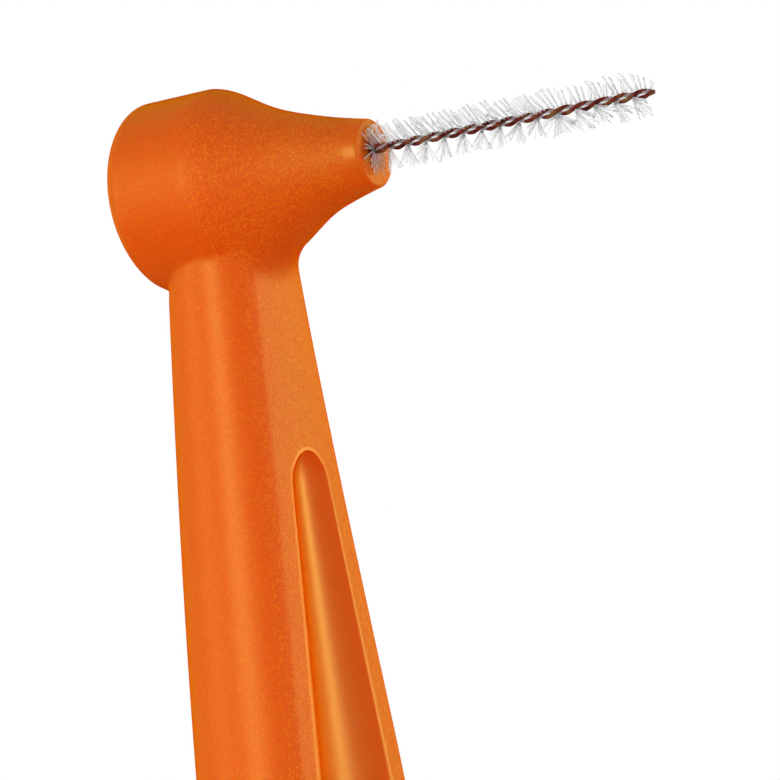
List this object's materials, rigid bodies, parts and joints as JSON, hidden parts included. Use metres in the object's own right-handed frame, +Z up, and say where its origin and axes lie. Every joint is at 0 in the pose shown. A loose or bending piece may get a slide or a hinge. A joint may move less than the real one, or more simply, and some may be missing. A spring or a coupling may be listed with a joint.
{
  "type": "interdental brush",
  "caption": "Angled interdental brush: one-piece handle with a thumb channel and a round head, whose hollow-sided nozzle holds a short brush of fine filaments in twisted, coated wire.",
  "frame": {"origin": "middle of the flat end of the handle's tail", "axes": "+Z up the handle towards the head, +X the way the brush points, +Y across the handle"},
  "size_m": [0.0288, 0.0128, 0.1347],
  "materials": {
    "handle_plastic": "fine spark-eroded grain, polished in the thumb channel",
    "bare_steel": "drawn wire",
    "wire_coat": "thin dark coat",
    "filament": "pale translucent nylon"
  },
  "bodies": {
    "root": {"handle": "handle_plastic", "steel_wire": "bare_steel", "wire_coating": "wire_coat", "bristle_tuft_01": "filament", "bristle_tuft_02": "filament", "bristle_tuft_03": "filament", "bristle_tuft_04": "filament", "bristle_tuft_05": "filament", "bristle_tuft_06": "filament", "bristle_tuft_07": "filament", "bristle_tuft_08": "filament", "bristle_tuft_09": "filament", "bristle_tuft_10": "filament", "bristle_tuft_11": "filament", "bristle_tuft_12": "filament", "bristle_tuft_13": "filament", "bristle_tuft_14": "filament", "bristle_tuft_15": "filament"}
  },
  "joints": []
}
